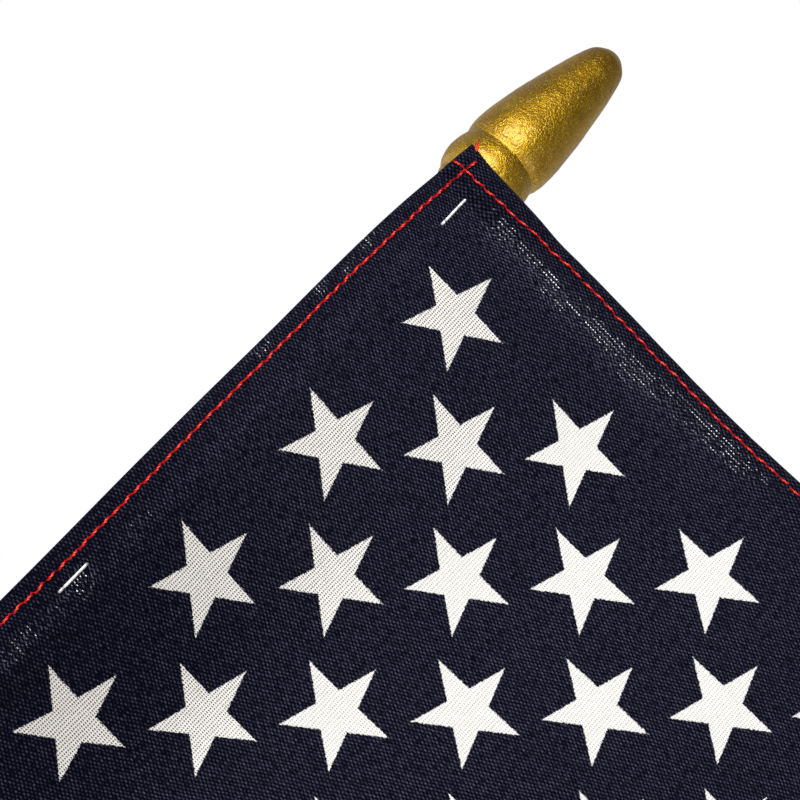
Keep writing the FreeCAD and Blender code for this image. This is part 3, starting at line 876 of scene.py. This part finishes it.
def stitch_row(name, path_u, path_v, on_face, pitch, lean, thread):
    """A row of lockstitches along a seam drawn in cloth coordinates, as a two-ply thread.

    Each stitch leans across the seam, then the thread dives and comes up again for the next one.
    """
    lengths = np.hypot(np.diff(path_u), np.diff(path_v))
    distance = np.concatenate([[0], np.cumsum(lengths)])
    count = int(distance[-1] / pitch)
    s = np.arange(count * STITCH_RINGS + 1) * pitch / STITCH_RINGS
    stitch = np.minimum(s // pitch, count - 1).astype(int)
    t = s / pitch - stitch
    slant, rise, shift = (rng.normal(0, spread, count)[stitch] for spread in LOOSENESS)
    dive = np.where(rng.random(count) < DEEP_SHARE, DEEP_DIVE, SHALLOW_DIVE)[stitch]

    # Over the cloth the thread crosses the seam one way, and under it the other way.
    over = t / LYING
    under = (t - LYING) / (1 - LYING)
    arch = np.sin(math.pi * np.clip(over, 0, 1)) ** 0.5
    trough = -dive * np.sin(math.pi * np.clip(under, 0, 1))
    sway = np.where(t < LYING, 2 * over - 1, 1 - 2 * ease(under, 0, 1))
    height = np.where(t < LYING, arch, trough)

    u = np.interp(s + shift * height, distance, path_u)
    v = np.interp(s + shift * height, distance, path_v)
    normal = face_normal(u, v)
    centre = face_point(u, v)
    if not on_face:
        normal = -normal
        centre = centre + normal * HEM_FOLD
    side = np.cross(normal, tangents(centre))
    centre = centre + side * ((lean + slant) * sway)[:, None]
    centre = centre + normal * (0.02 + (0.16 + rise) * height)[:, None]
    size = thread * (0.80 + 0.20 * np.maximum(height, -0.5))
    plies = []
    for start in (0.0, math.pi):
        phase = s * TURN / PLY_TWIST + start
        twist = side * np.cos(phase)[:, None] + normal * np.sin(phase)[:, None]
        plies.append(tube(centre + twist * 0.52 * size[:, None], side, normal, 0.62 * size, PLY_SIDES))
    piece = make_piece(name, *gather(plies), thread_red)
    # crest: how high each stitch stands, which sets its painted highlight.
    crest = np.clip(height, 0, 1) ** 3
    store(piece, "crest", np.tile(np.repeat(crest, PLY_SIDES), len(plies)))
    return piece


def wander(along, seed):
    """Small sideways wandering of a hand-guided seam."""
    place = np.asarray(along)[:, None]
    return smooth_noise(place, 60.0, seed, 2) * 0.14 + smooth_noise(place, 9.0, seed + 20, 2) * 0.07


def seam_paths():
    """Cloth coordinates of the four seams."""
    along = np.arange(0.1, FLAG_LENGTH - 0.1, 1.0)
    down = np.arange(1.8, FLAG_HEIGHT - 0.8, 1.0)
    top = 2.1 + 2.2 * np.exp(-along / 13) + 0.75 * bell(along, 14, 11) - 0.25 * bell(along, 59, 8)
    hoist = 3.1 + 0.2 * bell(down, 20, 9) - 0.28 * bell(down, 60, 16) - 0.5 * ease(down, 100, 118)
    return {
        "top": (along, top + wander(along, 3)),
        "bottom": (along, FLAG_HEIGHT - 2.6 + wander(along, 4)),
        "hoist": (hoist + wander(down, 5), down),
        "fly": (FLAG_LENGTH - 2.8 + wander(down, 6), down),
    }


def thread_tail():
    """The cut end of the hoist thread, its two plies standing up over the top edge."""
    t = np.linspace(0, 1, TAIL_RINGS)[:, None]
    start = face_point(1.7, 0.5) + [0.05, 0.30, -0.25]
    side = np.tile([0.76, 0.0, 0.65], (TAIL_RINGS, 1))
    lift = np.tile([0.0, -1.0, 0.0], (TAIL_RINGS, 1))
    plies = []
    for apart in (-TAIL_SPREAD, TAIL_SPREAD):
        path = start + TAIL_REACH * t + TAIL_SIDE * apart * (0.7 + 0.6 * t)
        plies.append(tube(path, side, lift, TAIL_PLY_RADIUS, PLY_SIDES))
    piece = make_piece("thread_tail", *gather(plies), thread_red)
    # The cut end gets a fixed share of painted highlight.
    store(piece, "crest", TAIL_GLOSS)
    return piece


# ---- Staples ----------------------------------------------------------------------------------------

# For each staple from the top: tilt in degrees, and how deep its lower and upper ends sink in.
STAPLES = ((-2.6, 0.05, 0.22), (-1.6, 0.0, 0.10), (0.9, 0.12, 0.05), (-0.8, 0.03, 0.2))
WIRE_RADIUS = 0.28
WIRE_SIDES = 12
LEG = 5.6
LEG_BEND = 0.55


def staple(centre_z, tilt, sunk_low, sunk_high):
    """One staple: crown along the stick, pulled a little into the cloth at its ends, and two legs."""
    half = STAPLE_CROWN / 2 - WIRE_RADIUS
    along = np.linspace(-half + LEG_BEND, half - LEG_BEND, 40)
    x = STAPLE_X + along * math.sin(tilt)
    z = centre_z + along * math.cos(tilt)
    face = face_point(*cloth_coordinates(x, z))[:, 1]
    t = (along / half + 1) / 2
    pinch = 0.34 * bell(t, 0.15, 0.035)
    depth = sunk_low * (1 - ease(t, 0, 0.25)) + sunk_high * ease(t, 0.5, 0.75) + pinch
    crown = np.stack([x, face - 0.16 + depth, z], -1)
    legs = []
    for end, sign in ((crown[0], -1), (crown[-1], 1)):
        leg = [end + [0, LEG_BEND * (1 - math.sin(a)), sign * LEG_BEND * math.cos(a)]
               for a in np.radians(np.linspace(75, 0, 6))]
        leg.append(leg[-1] + [0, LEG, 0])
        legs.append(np.array(leg))
    path = np.concatenate([legs[0][::-1], crown, legs[1]])
    side = np.tile([math.cos(tilt), 0.0, -math.sin(tilt)], (len(path), 1))
    return tube(path, side, np.cross(tangents(path), side), WIRE_RADIUS, WIRE_SIDES)


def staple_wires():
    """The staples down the stick, at even steps."""
    wires = []
    for z, (tilt, low, high) in zip(np.linspace(TOP_STAPLE_Z, LOW_STAPLE_Z, len(STAPLES)), STAPLES):
        wires.append(staple(z, math.radians(tilt), low, high))
    return make_piece("staple_wires", *gather(wires), staple_wire)


# ---- Tip and stick ----------------------------------------------------------------------------------

TIP_LEAN = 0.018
TIP_SEGMENTS = 180
STICK_SEGMENTS = 64
STICK_RINGS = 240
STICK_CHAMFER = 0.8
STICK_CENTRE = 0.2


def tip_outline():
    """Half section of the turned tip, as radius and height above its neck."""
    foot = [(4.85, -10.7), (5.1, -10.8), (5.9, -9.8), (6.4, -8.9), (6.6, -8.35), (6.45, -8.0)]
    bead = [(6.95, -7.6), (7.65, -6.6), (8.12, -5.0), (8.25, -3.6), (8.12, -1.8), (7.92, -0.75)]
    neck = [(7.84, -0.40), (7.76, -0.16), (7.73, 0.0), (7.75, 0.16), (7.83, 0.40)]
    barrel = [(7.92, 0.75), (8.18, 1.7), (8.34, 3.5), (8.22, 6.5), (7.63, 11.4), (7.12, 14.7)]
    taper = [(7.06, 15.0), (6.52, 18.05), (5.87, 21.2), (5.17, 24.5), (4.72, 26.3)]
    nose = [(4.64, 26.6), (4.35, 27.5), (3.78, 28.85), (2.35, 30.3), (1.1, 30.95), (0.05, 31.1)]
    outline = foot + spline_points(bead, 8) + neck + spline_points(barrel, 10)
    outline += spline_points(taper, 10) + spline_points(nose, 8)
    return [(radius, NECK_Z + level) for radius, level in outline]


def tip_wobble(points):
    """The small unevenness of turning under paint, and the lean of a tip glued on by hand."""
    x, y, z = points.T
    lean = TIP_LEAN * np.maximum(z - NECK_Z, 0) * x / np.hypot(x, y)
    uneven = 0.022 * smooth_noise(points, 6.0, 21) + 0.014 * smooth_noise(points, 1.5, 22, 2)
    return lean + uneven


def stick_outline():
    """Half section of the dowel, with its ends chamfered."""
    radius = STICK_RADIUS - 0.03
    low = stick_low[2]
    high = stick_high[2]
    levels = np.linspace(low + STICK_CHAMFER, high - STICK_CHAMFER, STICK_RINGS)
    foot = [(STICK_CENTRE, low), (radius - STICK_CHAMFER, low)]
    head = [(radius - STICK_CHAMFER, high), (STICK_CENTRE, high)]
    return foot + [(radius, z) for z in levels] + head


def stick_wobble(points):
    """The dowel's slight unevenness, drawn out along its grain."""
    return 0.03 * smooth_noise(points * [1, 1, 0.1], 3.0, 31, 2) - 0.02


# ---- Pieces -----------------------------------------------------------------------------------------

CAD_LOOKS = {
    "base": base_wood,
    "ballast_disc": ballast_steel,
    "ballast_screws": screw_steel,
    "felt_pad": green_felt,
    "socket_flange": brass,
    "flange_screws": brass,
    "socket_bush": bush_nylon,
}


def bend_with_flag(piece):
    """The piece crosses the bend line beside the stick; only its placement is baked into its points, and
    it is attached to no body.
    """
    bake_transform(piece)


def add_cloth():
    """The cloth replaces the strip on the stick and the free field."""
    piece = flag_cloth()
    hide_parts("flag_hoist_edge", "flag_field")
    bend_with_flag(piece)


def add_seams():
    """Needle and bobbin threads of the four seams; the top and bottom ones cross the bend."""
    for seam, (path_u, path_v) in seam_paths().items():
        for side in ("needle", "bobbin"):
            row = stitch_row(f"{seam}_{side}_stitches", path_u, path_v, side == "needle", *STITCHES[seam])
            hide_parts(f"{seam}_{side}_thread")
            if seam in ("top", "bottom"):
                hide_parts("corner_stitches")
                bend_with_flag(row)
            else:
                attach(row, "staff" if seam == "hoist" else "flag")


def add_staff_piece(piece, node=None):
    """A piece that moves with the stick, in place of a CAD node if it has one."""
    if node:
        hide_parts(node)
    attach(piece, "staff")


add_cloth()
add_seams()
add_staff_piece(staple_wires(), "staples")
add_staff_piece(thread_tail())
add_staff_piece(lathe("tip", tip_outline(), TIP_SEGMENTS, gold, tip_wobble), "spear_tip")
add_staff_piece(lathe("dowel", stick_outline(), STICK_SEGMENTS, stick_wood, stick_wobble),
                "stick")
for node, material in CAD_LOOKS.items():
    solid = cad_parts[node]
    solid.data.materials.clear()
    solid.data.materials.append(material)

# ---- Floor, light and camera ------------------------------------------------------------------------

WHITE = (1.0, 1.0, 1.0, 1.0)
FLOOR_HALF = 40
FLOOR_FADE = (500.0, 2600.0)
LENS = 108.0
SENSOR = 36.0
CAMERA_FROM_STAPLE = (-14.6, -383.5, -158.0)
CAMERA_BACK = (-0.077, -0.946, -0.314)
CAMERA_UP = (-0.732, -0.160, 0.663)
CAMERA_ROLL = math.radians(0.4)
CLIP = (0.02, 20.0)
LIT_CORNER = (0.03, 0.0, TOP_STAPLE_Z * MM)
WORLD_FRONT = -0.5
WORLD_BACK = 0.6
WORLD_FRONT_LIGHT = 0.08
WORLD_BACK_LIGHT = 0.50


def stage():
    """A plain pale floor that fades to white away from the stand."""
    shader = Shader("floor")
    place = shader.coordinates()
    x, y, _ = shader.split(place)
    tone = shader.noise(place, 0.004)
    away = (x * x + y * y).op("SQRT").ramp(*FLOOR_FADE)
    shader.set(Base_Color=shader.mix(tone, (0.80, 0.80, 0.80), (0.84, 0.84, 0.835)), Roughness=0.85,
               Emission_Color=WHITE, Emission_Strength=away)
    corners = [(x * FLOOR_HALF, y * FLOOR_HALF, 0) for x, y in ((-1, -1), (1, -1), (1, 1), (-1, 1))]
    mesh = bpy.data.meshes.new("floor")
    mesh.from_pydata(corners, [], [[0, 1, 2, 3]])
    mesh.materials.append(shader.material)
    floor = bpy.data.objects.new("floor", mesh)
    bpy.context.scene.collection.objects.link(floor)


def studio_world():
    """White to the camera; for light, bright behind the object and dimmer in front of it."""
    world = bpy.data.worlds.new("studio")
    bpy.context.scene.world = world
    world.use_nodes = True
    tree = world.node_tree
    tree.nodes.clear()
    out = tree.nodes.new("ShaderNodeOutputWorld")
    mix = tree.nodes.new("ShaderNodeMixShader")
    seen = tree.nodes.new("ShaderNodeBackground")
    lit = tree.nodes.new("ShaderNodeBackground")
    path = tree.nodes.new("ShaderNodeLightPath")
    place = tree.nodes.new("ShaderNodeTexCoord")
    split = tree.nodes.new("ShaderNodeSeparateXYZ")
    fade = tree.nodes.new("ShaderNodeMapRange")
    fade.inputs["From Min"].default_value = WORLD_FRONT
    fade.inputs["From Max"].default_value = WORLD_BACK
    fade.inputs["To Min"].default_value = WORLD_FRONT_LIGHT
    fade.inputs["To Max"].default_value = WORLD_BACK_LIGHT
    seen.inputs["Color"].default_value = WHITE
    lit.inputs["Color"].default_value = WHITE
    for source, target in (
            (place.outputs["Generated"], split.inputs[0]),
            (split.outputs["Y"], fade.inputs["Value"]),
            (fade.outputs[0], lit.inputs["Strength"]),
            (path.outputs["Is Camera Ray"], mix.inputs[0]),
            (lit.outputs[0], mix.inputs[1]),
            (seen.outputs[0], mix.inputs[2]),
            (mix.outputs[0], out.inputs["Surface"])):
        tree.links.new(source, target)


def soft_light(name, direction, distance, size, power):
    """A soft box of the given width and height, in metres, that looks at the flag's top corner."""
    data = bpy.data.lights.new(name, "AREA")
    data.shape = "RECTANGLE"
    data.energy = power
    data.size, data.size_y = size
    light = bpy.data.objects.new(name, data)
    away = Vector(direction).normalized()
    light.location = Vector(LIT_CORNER) + away * distance
    light.rotation_mode = "QUATERNION"
    light.rotation_quaternion = (-away).to_track_quat("-Z", "Y")
    bpy.context.scene.collection.objects.link(light)
    return light


def photo_camera():
    """Below and in front of the top corner, rolled so that the stick runs to the upper right."""
    data = bpy.data.cameras.new("camera")
    data.sensor_width = SENSOR
    data.lens = LENS
    data.clip_start, data.clip_end = CLIP
    camera = bpy.data.objects.new("camera", data)
    back = Vector(CAMERA_BACK).normalized()
    up = Vector(CAMERA_UP)
    up = (up - back * up.dot(back)).normalized()
    right = up.cross(back)
    place = (Vector((STAPLE_X, FACE_Y, TOP_STAPLE_Z)) + Vector(CAMERA_FROM_STAPLE)) * MM
    basis = Matrix((right, up, back)).transposed().to_4x4() @ Matrix.Rotation(-CAMERA_ROLL, 4, "Z")
    camera.matrix_world = Matrix.Translation(place) @ basis
    bpy.context.scene.collection.objects.link(camera)
    bpy.context.scene.camera = camera


stage()
studio_world()
soft_light("key", (-0.45, -0.88, 0.19), distance=1.0, size=(0.95, 0.46), power=10.6)
soft_light("fill", (0.9, -0.6, 0.1), distance=1.6, size=(1.2, 1.2), power=1.5)
behind = soft_light("behind", (0.5, 0.9, 0.7), distance=2.2, size=(1.6, 1.6), power=26.0)
behind.visible_glossy = False
photo_camera()
bpy.context.scene.view_settings.view_transform = "Standard"
